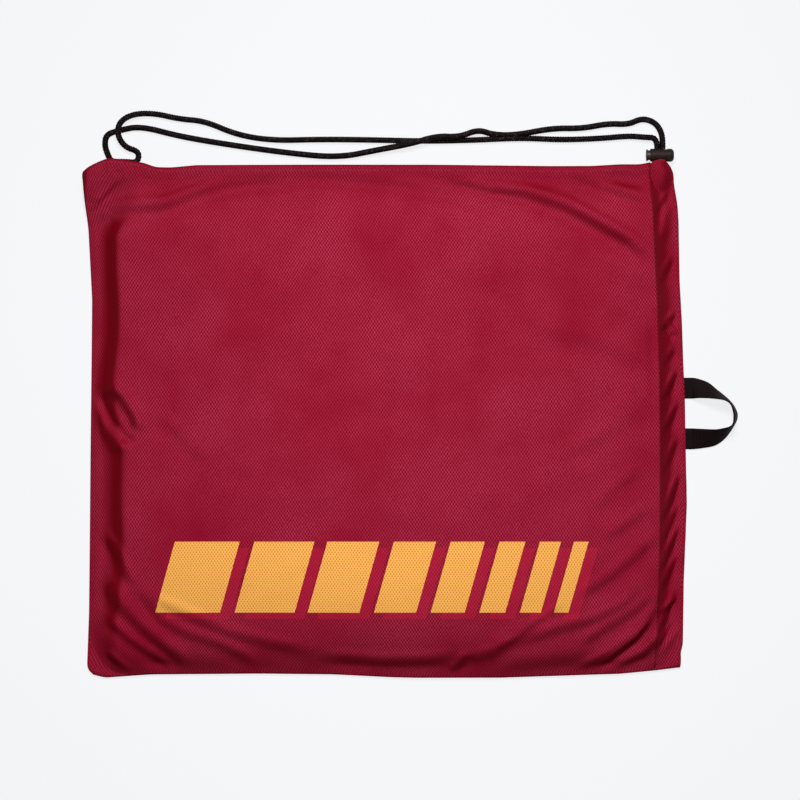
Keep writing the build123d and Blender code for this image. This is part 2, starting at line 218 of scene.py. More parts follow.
# %% The printed front finish
PRINT_LEFT = -209.0
PRINT_RIGHT = 181.0
PRINT_TOP = -113.0
PRINT_BOTTOM = -180.0
PRINT_SLANT = 0.28
PRINT_BARS = (0.16, 0.145, 0.125, 0.105, 0.085, 0.065, 0.05, 0.035)
PRINT_GAP = 0.0325
PRINT_BLUR = 0.4
ORANGE = linear(255, 190, 92)
# Painted shade of the ink in the holes between the loops.
ORANGE_HOLE_SHADE = linear(226, 132, 66)
GHOST_RED = linear(196, 30, 62)


def printed_bars(recipe, shift_x, shift_y):
    """1 on the bars and 0 off them."""
    x, y, _ = recipe.split("Object")
    x = recipe.math("SUBTRACT", x, shift_x * MM)
    y = recipe.math("SUBTRACT", y, shift_y * MM)
    middle = (PRINT_TOP + PRINT_BOTTOM) / 2 * MM
    lean = recipe.times(recipe.math("SUBTRACT", y, middle), PRINT_SLANT)
    slanted = recipe.math("SUBTRACT", x, lean)
    steps = recipe.node("ShaderNodeValToRGB")
    steps.color_ramp.interpolation = "CONSTANT"
    recipe.put(steps.inputs["Fac"], recipe.ramp(slanted, PRINT_LEFT * MM, PRINT_RIGHT * MM, curve="LINEAR"))
    stops = steps.color_ramp.elements
    stops[1].position = 0.0005
    at = 0.0
    for width in PRINT_BARS:
        at += width
        stops.new(min(at, 0.999)).color = (0, 0, 0, 1)
        at += PRINT_GAP
        if at < 0.99:
            stops.new(at).color = (1, 1, 1, 1)
    above = recipe.ramp(y, (PRINT_BOTTOM - PRINT_BLUR) * MM, (PRINT_BOTTOM + PRINT_BLUR) * MM)
    below = recipe.ramp(y, (PRINT_TOP + PRINT_BLUR) * MM, (PRINT_TOP - PRINT_BLUR) * MM)
    return recipe.times(steps.outputs["Color"], recipe.times(above, below))


printed, printed_colour, printed_loops = knit_recipe("mesh_knit_printed")
ghost = printed_bars(printed, 9.0, -6.0)
bars = printed_bars(printed, 0.0, 0.0)
under = printed.mix(printed.times(ghost, 0.4), printed_colour, GHOST_RED)
# Painted shade: the ink is drawn darker in the holes between the loops.
ink = printed.mix(printed.ramp(printed_loops, 0.02, 0.4), ORANGE_HOLE_SHADE, ORANGE)
printed.colour(printed.mix(bars, under, ink))

# %% [markdown]
# ## Plastic, webbing, braid and wire
#
# The lock is moulded in a near-black nylon with a faint grain. The webbing is a dark woven tape with fine
# ribs across it, drawn darker in the hollows and lighter on the rib tops as painted shade and highlight. The
# cord is braided, and its strands are modelled; its finish paints the crevices between the strands near black
# as shade, and adds pale yarn flecks on the strand tops and the yarn's own fine lines. The spring is drawn
# steel.

# %% The other finishes
lock_plastic = Recipe("lock_plastic", roughness=0.6, specular=0.2)
lock_plastic.flecked(lock_plastic.noise(160.0, 5.0, 0.7), 0.5, 0.75, (34, 21, 18), (58, 41, 36))
lock_plastic.bump(lock_plastic.noise(1400.0), 0.0001, 0.35)

button_plastic = Recipe("button_plastic", roughness=0.5)
button_grain = button_plastic.noise(1400.0)
button_plastic.flecked(button_grain, 0.4, 0.7, (40, 30, 30), (60, 48, 47))
button_plastic.bump(button_grain, 0.0001, 0.3)

tape = Recipe("webbing_tape", roughness=0.7, specular=0.07)
tape_across, tape_along, _ = tape.split("UV")
ribs = tape.math("SINE", tape.times(tape_along, 2 * math.pi / 1.3))
twill = tape.math("SINE", tape.times(tape.math("ADD", tape_across, tape_along), 2 * math.pi / 1.9))
tape_height = tape.math("ADD", tape.times(ribs, 0.6), tape.times(twill, 0.4))
# Painted shade and highlight: the tape is drawn darker in the hollows between its ribs and lighter on their
# tops, with a little grain.
tape.flecked(tape.math("ADD", tape_height, tape.noise(1500.0)), -0.4, 1.6, (10, 5, 6), (36, 23, 25))
tape.bump(tape_height, 0.00018, 0.8)

braid = Recipe("cord_braid", roughness=0.55, specular=0.06)
braid_round, braid_along, _ = braid.split("UV")
strand_turn = braid.times(braid_along, 2 * math.pi)
strand_round = braid.times(braid_round, 8 * math.pi)
one_hand = braid.math("COSINE", braid.math("ADD", strand_round, strand_turn))
other_hand = braid.math("COSINE", braid.math("SUBTRACT", strand_round, strand_turn))
strand_top = braid.ramp(braid.math("MAXIMUM", one_hand, other_hand), 0.55, 1.0)
# Painted shade: the crevices between the strands are drawn near black, and the strand tops dark brown.
braid_base = braid.mix(strand_top, linear(1, 1, 1), linear(24, 15, 17))
# Pale yarn flecks, a tone of their own, kept to the strand tops.
pale_yarn = braid.times(braid.ramp(braid.noise(420.0), 0.5, 0.7), strand_top)
braid.colour(braid.mix(pale_yarn, braid_base, linear(80, 58, 60)))
braid.bump(braid.noise(2200.0), 0.0001, 0.5)

wire = Recipe("spring_wire", roughness=0.3)
wire.shader.inputs["Metallic"].default_value = 1.0
wire.flecked(wire.noise(1800.0), 0.3, 0.7, (150, 150, 152), (205, 205, 208))

thread = Recipe("sewing_thread", roughness=0.6)
thread.flecked(thread.noise(1600.0), 0.35, 0.7, (116, 12, 34), (168, 44, 70))

CAD_FINISHES = {
    "cord_lock_barrel": lock_plastic,
    "cord_lock_plunger": button_plastic,
    "cord_lock_spring": wire,
    "drawcord_casing": braid,
}
for node_name, finish in CAD_FINISHES.items():
    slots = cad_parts[node_name].data.materials
    slots.clear()
    slots.append(finish.material)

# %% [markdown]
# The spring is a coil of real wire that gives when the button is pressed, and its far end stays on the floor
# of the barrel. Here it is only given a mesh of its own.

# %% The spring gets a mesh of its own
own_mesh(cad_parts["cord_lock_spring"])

# %% [markdown]
# ## Floor, light and camera
#
# A bag lying flat is looked at from straight above. The light is soft and comes mostly from beyond the
# mouth, so that every fold shows a lit and a shaded flank. The floor looks white to the camera, yet it
# still catches a faint shadow, because its shader mixes a plain pale surface with a glow that only the
# camera and reflections see.

# %% Camera
CAMERA_X = 13.3
CAMERA_Y = 20.0
CAMERA_HEIGHT = 3.0
VIEW_WIDTH = 0.76


def new_object(name, data):
    """An object in the scene, at the origin."""
    made = bpy.data.objects.new(name, data)
    bpy.context.scene.collection.objects.link(made)
    return made


camera_data = bpy.data.cameras.new("camera_above")
camera_data.sensor_width = 36.0
camera_data.lens = camera_data.sensor_width * CAMERA_HEIGHT / VIEW_WIDTH
camera_data.clip_end = 20.0
camera = new_object("camera_above", camera_data)
camera.location = (CAMERA_X * MM, CAMERA_Y * MM, CAMERA_HEIGHT)
bpy.context.scene.camera = camera
bpy.context.scene.view_settings.view_transform = "Standard"
print("lens", round(camera_data.lens, 1))

# %% Lights
LAMP_PLACE = np.array((0.06, 0.98, 1.78))
LAMP_AIM = np.array((0.02, -0.05, 0.0))

lamp_data = bpy.data.lights.new("mouth_light", "AREA")
lamp_data.size = 0.5
lamp_data.energy = 5.4
lamp_data.spread = math.radians(62)
lamp = new_object("mouth_light", lamp_data)
lamp.location = LAMP_PLACE
aim_x, aim_y, aim_z = LAMP_AIM - LAMP_PLACE
tilt = math.atan2(math.hypot(aim_x, aim_y), -aim_z)
lamp.rotation_euler = (tilt, 0.0, math.atan2(aim_y, aim_x) - math.pi / 2)

world = bpy.data.worlds.new("studio_air")
world.use_nodes = True
bpy.context.scene.world = world
air = Graph(world.node_tree)
background = air.tree.nodes["Background"]
background.inputs["Color"].default_value = (1, 1, 1, 1)
rays = air.node("ShaderNodeLightPath").outputs
seen_through = air.math("MAXIMUM", rays["Is Camera Ray"], rays["Is Transmission Ray"])
air.put(background.inputs["Strength"], air.ramp(seen_through, 0.0, 1.0, to=(0.12, 0.96), curve="LINEAR"))

# %% Floor
FLOOR_HALF = 6
FLOOR_TOP = -0.0004
PAPER_GLOW = 0.86

floor_mesh = bpy.data.meshes.new("floor")
corners = [(FLOOR_HALF * x, FLOOR_HALF * y, FLOOR_TOP) for x, y in ((-1, -1), (1, -1), (1, 1), (-1, 1))]
floor_mesh.from_pydata(corners, [], [(0, 1, 2, 3)])
floor = new_object("floor", floor_mesh)

paper = Recipe("floor_paper", roughness=0.9, specular=0.1)
paper.colour((0.86, 0.865, 0.875, 1))
glow = paper.node("ShaderNodeEmission", {"Color": (0.95, 0.955, 0.97, 1)})
rays = paper.node("ShaderNodeLightPath").outputs
seen = paper.times(paper.math("MAXIMUM", rays["Is Camera Ray"], rays["Is Glossy Ray"]), PAPER_GLOW)
sources = (seen, paper.shader.outputs[0], glow.outputs[0])
surface = paper.node("ShaderNodeMixShader", dict(enumerate(sources)))
paper.put(paper.tree.nodes["Material Output"].inputs["Surface"], surface.outputs[0])
floor.data.materials.append(paper.material)

# %% [markdown]
# ## The free cord
#
# One cord runs the whole way: through both tunnels of the mouth, out at the corner, through the lock,
# and round in a long loose loop that lies on the table. The free loop follows a NURBS spline, which
# gives the slack, even curves that a braided cord takes. Over it goes a tube whose skin is lifted
# where the strands of the braid pass over each other, four one way and four the other.

# %% The cord's line
CORD = 5.0
STRAND_RIGHT = 262.25
STRAND_LEFT = 257.15
LOCK_SIDE = 258.4
LOCK_Z = 6.5
FLOOR_Z = 2.6
OVER_Z = 7.9
# A place without a height lies on the table.
LOOP_ROUTE = (
    (STRAND_RIGHT, LOCK_SIDE, LOCK_Z), (STRAND_RIGHT, 265.6, LOCK_Z), (261.4, 273.4, 4.4),
    (257.4, 281, 2.9), (250.4, 285.6), (241.4, 286.8), (229.8, 281.4), (210.6, 282.4), (186, 277.6),
    (157.6, 278), (124, 271.4), (102, 271.6, 2.8), (87.4, 276.6, 4.2), (69.6, 269.2, 6.8),
    (48, 270.2, OVER_Z), (24, 262.8, OVER_Z), (-8, 257.2, 4.4), (-46, 249.8), (-98, 255),
    (-150, 262.4), (-196, 270.2), (-233, 280), (-253.6, 275.8), (-265.6, 272), (-267, 261.6),
    (-264.4, 253.8), (-260.8, 245.8), (-248.4, 246.4), (-235.8, 245), (-234, 255.8),
    (-247.6, 259.6, 4.6), (-254.8, 271.4, OVER_Z), (-252.6, 283.6, OVER_Z), (-240.2, 291.2, 5.6),
    (-220, 292.2, 2.8), (-196, 286.6), (-172, 284.8), (-142, 271.8), (-108, 266.2),
    (-62, 267.4), (-14, 266.9), (36, 265.6), (84, 266.6), (128, 268.8), (166, 266.8),
    (204, 268.2), (230, 270.6), (245.4, 269.2, 4.6), (STRAND_LEFT, 268.4, LOCK_Z),
    (STRAND_LEFT, LOCK_SIDE, LOCK_Z),
)
loop_points = [(*place, FLOOR_Z)[:3] for place in LOOP_ROUTE]


def spline_line(name, points, resolution):
    """The points of a smooth NURBS line through a route, in millimetres."""
    data = bpy.data.curves.new(name, "CURVE")
    data.dimensions = "3D"
    spline = data.splines.new("NURBS")
    spline.points.add(len(points) - 1)
    for point, place in zip(spline.points, points):
        point.co = (place[0] * MM, place[1] * MM, place[2] * MM, 1.0)
    spline.order_u = 3
    spline.use_endpoint_u = True
    data.resolution_u = resolution
    line = new_object(name, data)
    bpy.context.view_layer.update()
    depsgraph = bpy.context.evaluated_depsgraph_get()
    mesh = bpy.data.meshes.new_from_object(line.evaluated_get(depsgraph))
    out = np.array([v.co[:] for v in mesh.vertices]) / MM
    bpy.data.objects.remove(line)
    bpy.data.meshes.remove(mesh)
    return out


def even_steps(points, step):
    """Points at equal steps along a line."""
    runs = np.linalg.norm(np.diff(points, axis=0), axis=1)
    at = np.concatenate([[0.0], np.cumsum(runs)])
    count = int(round(at[-1] / step)) + 1
    where = np.linspace(0.0, at[-1], count)
    out = np.stack([np.interp(where, at, points[:, k]) for k in range(3)], axis=1)
    return out, where


cord_line = spline_line("drawcord_line", loop_points, 24)
rings, ring_at = even_steps(cord_line, 0.55)
print("free cord", round(ring_at[-1] * MM, 4), "m,", len(rings), "rings")


# %% The braided tube
def link_mesh(name, points, faces, finish, uv):
    """A smooth mesh object from points in millimetres, standing at the origin."""
    mesh = bpy.data.meshes.new(name)
    mesh.from_pydata((points * MM).tolist(), [], faces)
    corners = np.empty(len(mesh.loops), dtype=np.int32)
    mesh.loops.foreach_get("vertex_index", corners)
    layer = mesh.uv_layers.new(name="cloth")
    layer.data.foreach_set("uv", np.asarray(uv, dtype=np.float32)[corners].ravel())
    mesh.materials.append(finish.material)
    mesh.polygons.foreach_set("use_smooth", [True] * len(mesh.polygons))
    mesh.update()
    return new_object(name, mesh)


def ring_frames(line):
    """Two directions across a line, turned as little as possible from ring to ring."""
    along = np.gradient(line, axis=0)
    along /= np.linalg.norm(along, axis=1)[:, None]
    side = np.cross(along[0], (0.0, 0.0, 1.0))
    sides = []
    for direction in along:
        side = side - direction * np.dot(side, direction)
        side /= np.linalg.norm(side)
        sides.append(side)
    sides = np.array(sides)
    return sides, np.cross(sides, along)


def tube_faces(rings_made, around):
    """Quads between neighbouring rings, with the ends left open."""
    ring = np.arange(rings_made - 1)[:, None] * around
    one = np.arange(around)[None, :]
    two = (one + 1) % around
    quads = np.stack([ring + one, ring + two, ring + around + two, ring + around + one], axis=-1)
    return quads.reshape(-1, 4)


BRAID_SIDES = 24
BRAID_PERIOD = 9.6
BRAID_LIFT = 0.7
BRAID_SWELL = 0.45


def braided_tube(name, line, at, radius):
    """A closed tube along a line, its skin lifted where the strands of a braid pass."""
    side, up = ring_frames(line)
    angle = np.arange(BRAID_SIDES) / BRAID_SIDES * 2 * math.pi
    turn = at[:, None] * 2 * math.pi / BRAID_PERIOD
    lift = np.maximum(np.cos(2 * (angle + turn)) ** 2, np.cos(2 * (angle - turn)) ** 2)
    reach = radius - BRAID_LIFT + BRAID_LIFT * lift
    ring = side[:, None] * np.cos(angle)[:, None] + up[:, None] * np.sin(angle)[:, None]
    points = (line[:, None] + ring * reach[:, :, None]).reshape(-1, 3)
    strands = at / (BRAID_PERIOD / 4)
    uv = np.stack(np.broadcast_arrays(angle / (2 * math.pi), strands[:, None]), axis=-1)
    uv = np.concatenate([uv.reshape(-1, 2), [[0.5, 0.0], [0.5, strands[-1]]]])
    faces = tube_faces(len(line), BRAID_SIDES)[:, ::-1].tolist()
    count = len(points)
    for k in range(BRAID_SIDES):
        after = (k + 1) % BRAID_SIDES
        faces.append([count, k, after])
        faces.append([count + 1, count - BRAID_SIDES + after, count - BRAID_SIDES + k])
    return link_mesh(name, np.concatenate([points, line[[0, -1]]]), faces, braid, uv)


drawcord = braided_tube("drawcord", rings, ring_at, CORD / 2 + BRAID_SWELL)
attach(drawcord, "bag")
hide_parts("drawcord_loop")
print("cord faces", len(drawcord.data.polygons))

# %% [markdown]
# ## The shape of the filled bag
#
# A flat filling lifts the front cloth into a low plateau, and the cloth falls from it to the seams all
# round. The outline of the bag isn't a true rectangle, so it is written as four lightly curved edges.
# The height at a point comes from how far it lies inside each edge: every edge has its own way of
# falling, and the four are blended so that corners come out round.

# %% Outline and height of the cloth
LEFT_EDGE = (
    (-244, -272), (-239, -281), (-233.7, -283.7), (-180.5, -281.8), (-132, -281.3), (-27.6, -280.4),
    (60, -279.4), (115, -278.9), (181.5, -282.4), (205, -285), (234.5, -287.6), (240, -282),
)
RIGHT_EDGE = (
    (-240, 277), (-231, 280.2), (-218, 279.6), (-214, 281.8), (-153, 282.6), (-79, 285.6), (-27.6, 284.5),
    (20, 283.7), (55, 282.2), (94, 280.9), (133, 278.7), (191, 277.7), (206, 276.6), (231, 272.2),
    (236, 270.2), (240, 267.6), (244, 264.8),
)
BOTTOM_EDGE = (
    (-284, -238), (-270, -243.6), (-242, -241.7), (-222, -240.5), (-120, -239.7), (-50.6, -240.4),
    (5, -243.2), (28, -243.7), (108, -243.6), (203, -240.5), (222, -239.9), (237, -238.5), (256, -236.6),
    (282, -233.2),
)
TOP_EDGE = (
    (-288, 235), (-280, 242), (-273, 246.6), (-267, 248.6), (-258, 247.9), (-245, 246.2), (-232, 244.2),
    (-217.6, 239.9), (-203, 239.6), (-180, 241.8), (-120, 242), (-82, 242.2), (37, 242.2), (156, 240.9),
    (194, 241), (220, 242.8), (240, 243), (251, 245.4),
)
SEAM_LINE = (
    (-240, 255.3), (-168, 256.9), (-95, 258.2), (-37, 258.3), (39, 257.6), (113, 255.6), (142, 254),
    (172, 252.8), (202, 251.6), (222, 249.6), (246, 250.4),
)
PLATEAU = 36.5
FOOT = 2.6


def edge(table, at):
    """The place of an edge at points along it."""
    return np.interp(at, *zip(*table))


def smooth_edge(table, at, reach=4.0):
    """An edge with its corners rounded over a short reach."""
    total = 0.0
    for shift, weight in ((-1.0, 0.15), (-0.5, 0.2), (0.0, 0.3), (0.5, 0.2), (1.0, 0.15)):
        total = total + weight * edge(table, at + shift * reach)
    return total


def fall(inside, reach, power, start=0.0):
    """0 at an edge and 1 on the plateau, at a distance inside the edge."""
    return 1 - np.exp(-np.power(np.maximum(inside - start, 0.0) / reach, power))


def plateau_height(x, y):
    """How high the front cloth stands, before its folds."""
    inside = x - smooth_edge(LEFT_EDGE, y)
    wander = inside + 2.2 * np.sin(y / 37 + 1.0) + 1.2 * np.sin(y / 17)
    slack = np.clip((y - 172) / 34, 0.0, 1.0) ** 1.5
    lower = np.clip((30 - y) / 60, 0.0, 1.0)
    along_wall = (wander - 6.5 - 2.5 * lower + 4 * slack) / (19.5 + 3.5 * lower + 30 * slack)
    climb = 1 - np.logaddexp(0.0, (1 - along_wall) / 0.08) * 0.08
    wall = np.clip(climb, 0.0, 1.0) ** 1.75
    left = 0.15 * fall(inside, 7.0, 1.2) + 0.66 * wall + 0.19 * fall(inside, 60.0, 1.5)
    right = 0.87 + 0.13 * fall(smooth_edge(SEAM_LINE, y) - x, 45.0, 1.3)
    inside = y - smooth_edge(BOTTOM_EDGE, x)
    bottom = 0.18 * fall(inside, 9.0, 1.0) + 0.2 * fall(inside, 18.0, 1.8, 4.0)
    bottom = bottom + 0.62 * fall(inside, 54.0, 1.4)
    mouth = 1 - 0.43 * np.exp(-np.power(np.maximum(smooth_edge(TOP_EDGE, x) - 12 - y, 0.0) / 34, 1.3))
    missing = np.power(1 - left, 2.4) + np.power(1 - bottom, 2.4)
    sides = np.maximum(1 - np.power(missing, 1 / 2.4), 0.0)
    return FOOT + (PLATEAU - FOOT) * sides * right * mouth


# %% [markdown]
# ## The folds
#
# Knit this soft never lies smooth: it hangs in creases that start at the seams and die out over the
# filling. A cloth simulation would give creases, but not these ones. Each fold is drawn instead as a
# path with a width and a height. The cloth rises to a crest on the left of the path, drops down a
# steep flank, and comes up slowly out of the furrow on the right, with soft ends. Paths are written as
# they look on the table from three metres above, so a point on raised cloth is moved out a little first.

# %% Drawing folds
FLANK_SHARE = 1.25


def fold(path, width, height, x, y, ends):
    """The lift that one fold gives at points x, y: a crest left of its path and a furrow right of it."""
    path = np.array(path, dtype=float)
    runs = np.linalg.norm(np.diff(path, axis=0), axis=1)
    at = np.concatenate([[0.0], np.cumsum(runs)])
    low = path.min(axis=0) - 5 * width
    high = path.max(axis=0) + 5 * width
    near = (x > low[0]) & (x < high[0]) & (y > low[1]) & (y < high[1])
    out = np.zeros_like(x)
    px, py = x[near], y[near]
    best = np.full(px.shape, 1e9)
    signed = np.zeros_like(px)
    along = np.zeros_like(px)
    for k in range(len(runs)):
        ax, ay = path[k]
        dx, dy = (path[k + 1] - path[k]) / runs[k]
        t = (px - ax) * dx + (py - ay) * dy
        side = (py - ay) * dx - (px - ax) * dy
        held = np.clip(t, 0.0, runs[k])
        away = np.hypot(t - held, side)
        closer = away < best
        best = np.where(closer, away, best)
        signed = np.where(closer, np.where(side >= 0, away, -away), signed)
        along = np.where(closer, (at[k] + held) / at[-1], along)
    taper = np.clip(np.minimum(along, 1 - along) / ends, 0.0, 1.0)
    taper = taper * taper * (3 - 2 * taper)
    flank = np.clip(signed / (FLANK_SHARE * width), -1.0, 1.0)
    tail = np.where(signed > 0, 1.0, 1.8) * width
    beyond = np.maximum(np.abs(signed) - FLANK_SHARE * width, 0.0) / tail
    out[near] = height * taper * np.sin(flank * math.pi / 2) * np.exp(-(beyond**2))
    return out


SIGHT = (13.0, 20.0, 3000.0)
FOLD_STRENGTH = 1.2
FRONT_FOLDS = (
    (4, 1.5, (-92, 236), (-85, 231), (-50, 232), (0, 228), (50, 219), (100, 205), (135, 199), (150, 198)),
    (5.4, 3.7, (24, 238), (60, 229), (100, 220), (130, 216), (170, 203), (200, 187), (230, 170),
     (250, 152), (257, 138)),
    (3, 1, (100, 240), (102, 232), (105, 222)),
    (4.2, 2, (168, 238), (185, 230), (205, 222), (230, 214), (252, 206)),
    (3.4, 1.6, (216, 241), (230, 232), (245, 229), (258, 231)),
    (5.4, 2.9, (-287, 193), (-262, 199), (-235, 202), (-215, 203), (-200, 208), (-180, 216), (-150, 226),
     (-115, 230), (-80, 231)),
    (3, 1.3, (-222, 218), (-205, 221), (-190, 227), (-170, 238)),
    (2.2, 1.4, (-282, 197), (-272, 207), (-260, 221), (-250, 233)),
    (5, 0.7, (-140, 212), (-120, 208), (-100, 206), (-80, 212), (-45, 216)),
    (2.4, 1.3, (-266, 247), (-264, 238), (-262, 230)),
    (2.4, 1.2, (-251, 243), (-250, 236), (-250, 229)),
    (2.6, 1, (-230, 241), (-227, 234), (-224, 229)),
    (2.4, 1, (-287, 214), (-280, 211), (-270, 208)),
    (3.4, 1.2, (-282, 182), (-272, 190), (-260, 197)),
    (6, 0.9, (243, 20), (244, 60), (243, 100), (236, 118), (225, 135)),
    (3.6, 0.8, (252, 10), (251, 60), (250, 110)),
    (7, 0.8, (138, 88), (160, 80), (200, 73), (225, 62), (245, 46)),
    (6, 0.5, (205, 2), (220, 6), (248, 20)),
    (6, 0.8, (175, -38), (185, -30), (215, -10), (250, 8)),
    (5, 0.9, (195, -88), (205, -80), (225, -60), (246, -46)),
    (4.6, 1, (205, -116), (215, -110), (235, -95), (252, -82)),
    (4.6, 1.4, (178, -172), (190, -165), (215, -148), (240, -128), (262, -106)),
    (5, 1, (98, -217), (108, -213), (130, -200), (145, -195)),
    (4.6, 1.4, (60, -232), (70, -230), (100, -222), (125, -212), (160, -200), (200, -190), (230, -175),
     (256, -147)),
    (4.2, 1.6, (180, -215), (190, -210), (215, -195), (240, -180), (260, -160)),
    (3.8, 2, (176, -240), (185, -237), (215, -222), (240, -203), (258, -178), (264, -152)),
    (3.8, 1.8, (214, -237), (222, -233), (245, -222), (266, -202)),
    (6, 0.6, (100, -231), (118, -232), (150, -232), (200, -224)),
    (2.4, 1.2, (196, -238), (215, -226), (238, -208), (256, -186)),
    (3, 0.7, (104, -219), (125, -206), (150, -188), (172, -172)),
    (3.4, 1.2, (62, -240), (68, -235), (80, -220)),
    (4, 1.6, (-272, -104), (-268, -110), (-258, -125), (-248, -145), (-241, -160)),
    (5.4, 2.3, (-274, -146), (-268, -155), (-255, -175), (-235, -195), (-215, -213), (-195, -230),
     (-182, -238)),
    (3.4, 1.8, (-270, -185), (-265, -190), (-245, -208), (-225, -222), (-200, -238)),
    (3, 1.3, (-268, -219), (-262, -225), (-250, -235), (-243, -242)),
    (4.6, 1.2, (-247, -154), (-240, -160), (-215, -175), (-180, -190), (-150, -203), (-100, -215),
     (-60, -223)),
    (4.2, 1.4, (-240, -158), (-235, -165), (-215, -190), (-190, -203), (-160, -213), (-140, -222),
     (-118, -238)),
    (3.8, -3.2, (-278, 26), (-271, 12), (-262, -4), (-252, -18), (-238, -27)),
    (4.6, 3, (-266, 36), (-262, 30), (-252, 20), (-242, 4), (-236, -14)),
    (5, 0.7, (-222, 6), (-218, 3), (-200, -10), (-185, -28), (-170, -42)),
    (4.6, 1.3, (-70, -226), (-40, -227), (0, -230), (40, -229), (74, -223)),
)
print("folds", len(FRONT_FOLDS))


def lift_by(folds, x, y, ends=0.22):
    """What a whole table of folds adds at points x, y."""
    return FOLD_STRENGTH * sum(fold(path, width, height, x, y, ends) for width, height, *path in folds)


def wave_noise(x, y, size, seed):
    """Soft, repeatable unevenness of about -1 to 1."""
    chooser = np.random.default_rng(seed)
    total = np.zeros_like(x)
    for _ in range(14):
        turn = chooser.uniform(0, 2 * math.pi)
        length = size * chooser.uniform(0.6, 1.7)
        phase = chooser.uniform(0, 2 * math.pi)
        total += np.sin((x * math.cos(turn) + y * math.sin(turn)) * 2 * math.pi / length + phase)
    return total / 4.5


def front_lift(x, y):
    """What the folds and the unevenness add to the front cloth."""
    height = plateau_height(x, y)
    seen_x = SIGHT[0] + (x - SIGHT[0]) * (1 + height / SIGHT[2])
    seen_y = SIGHT[1] + (y - SIGHT[1]) * (1 + height / SIGHT[2])
    uneven = 0.45 * wave_noise(x, y, 85.0, 4) + 0.12 * wave_noise(x, y, 26.0, 9)
    share = np.clip((height - FOOT) / 7.0, 0.0, 1.0)
    return (lift_by(FRONT_FOLDS, seen_x, seen_y) + uneven) * share


# %% [markdown]
# ## Turning a sheet of points into cloth
#
# Each panel is a sheet of points, laid out in rows. A sheet has no thickness, so a second one is set a
# little inside it, and the rims of the two are joined. The outer sheet has points close enough for the
# narrowest fold, and the lining makes do with every second row and column of them. The UV map is the
# length of cloth between the points, so that the knit keeps its scale on slopes and folds.

# %% Making a skin with thickness
CLOTH = 1.1


def graded(length, steps, margins):
    """Shares of a length, at steps that widen a little between its two margins."""
    fine, coarse = np.array(steps) / length
    low_margin, high_margin = np.array(margins) / length
    out = [0.0]
    while out[-1] < 1.0:
        inside = np.clip([out[-1] - low_margin, 1.0 - out[-1] - high_margin], 0.0, 25.0).min() / 25.0
        out.append(out[-1] + fine + (coarse - fine) * inside)
    return np.array(out) / out[-1]


def sheet_normals(sheet):
    down = np.gradient(sheet, axis=0)
    across = np.gradient(sheet, axis=1)
    normal = np.cross(across, down)
    size = np.linalg.norm(normal, axis=2)
    size[size < 1e-9] = 1.0
    return normal / size[:, :, None]


def cloth_lengths(sheet, row, column):
    """The cloth's own coordinates in millimetres: length along the rows and up the columns."""
    steps = np.linalg.norm(np.diff(sheet, axis=1), axis=2)
    across = np.concatenate([np.zeros((len(sheet), 1)), np.cumsum(steps, axis=1)], axis=1)
    across -= across[:, column : column + 1]
    rises = np.linalg.norm(np.diff(sheet, axis=0), axis=2)
    up = np.concatenate([np.zeros((1, sheet.shape[1])), np.cumsum(rises, axis=0)], axis=0)
    up -= up[row : row + 1, :]
    return np.stack([across, up], axis=-1)


def skin(name, sheet, uv, finish, steep_shade_strength=1.0):
    """A closed skin whose outer face is the sheet. Rows run across, with the outside up. Each point also
    carries how steeply the cloth stands there, which the knit finish paints as shade.
    """
    rows, columns = sheet.shape[:2]
    number = np.arange(rows * columns).reshape(rows, columns)
    a, b, c, d = number[:-1, :-1], number[:-1, 1:], number[1:, 1:], number[1:, :-1]
    outer = np.stack([a, b, c, d], axis=-1).reshape(-1, 4)
    down = sorted({*range(0, rows, 2), rows - 1})
    across = sorted({*range(0, columns, 2), columns - 1})
    kept = np.zeros((rows, columns), dtype=bool)
    kept[np.ix_(down, across)] = True
    kept[[0, -1], :] = True
    kept[:, [0, -1]] = True
    under = np.full((rows, columns), -1)
    under[kept] = rows * columns + np.arange(kept.sum())
    at = under.tolist()
    lining = []
    for top, low in zip(down[:-1], down[1:]):
        for left, right in zip(across[:-1], across[1:]):
            ring = [at[k][left] for k in range(top, low)] + at[low][left:right]
            ring += [at[k][right] for k in range(low, top, -1)] + at[top][right:left:-1]
            lining.append([k for k in ring if k >= 0])
    rim_line = np.concatenate([number[0, :], number[1:, -1], number[-1, -2::-1], number[-2:0:-1, 0]])
    rim_next = np.roll(rim_line, -1)
    rim = np.stack([rim_next, rim_line, under.flat[rim_line], under.flat[rim_next]], axis=-1)
    faces = outer.tolist() + lining + rim.tolist()
    normals = sheet_normals(sheet)
    points = np.concatenate([sheet.reshape(-1, 3), (sheet - normals * CLOTH)[kept]])
    made = link_mesh(name, points, faces, finish, np.concatenate([uv.reshape(-1, 2), uv[kept]]))
    # Painted shade: how steeply the cloth stands, stored on each point for the knit finish to darken; the
    # gusset gets less of it.
    steep_painted_shade = steep_shade_strength * np.clip((0.985 - np.abs(normals[:, :, 2])) / 0.36, 0.0, 1.0) ** 1.5
    turned = made.data.attributes.new("steep_painted_shade", "FLOAT", "POINT")
    turned.data.foreach_set("value", np.concatenate([steep_painted_shade.ravel(), steep_painted_shade[kept]]).astype(np.float32))
    print(name, "faces", len(faces))
    return made


# %% [markdown]
# ## The front cloth
#
# The front runs from the bottom seam up to the mouth, over the tunnel that holds the cord, and a little
# way back inside, where it is sewn down. In the making it is one sheet: its rows follow the plateau, and
# its last rows turn round the tunnel. A shallow groove marks the row of stitches under the tunnel.

# %% The front cloth's rows
TUNNEL = 12.0
TUNNEL_HALF = 4.1
HEM_INSIDE = 9.0
START_BOTTOM = -241.0
INSIDE_STEPS = (1 / 3, 2 / 3, 1.0)
TUNNEL_HEIGHTS = (
    (-289, 5.5), (-286.5, 9.5), (-284, 14.2), (-280, 16.2), (-210, 18.6), (196, 18.2), (249, 10.8),
)


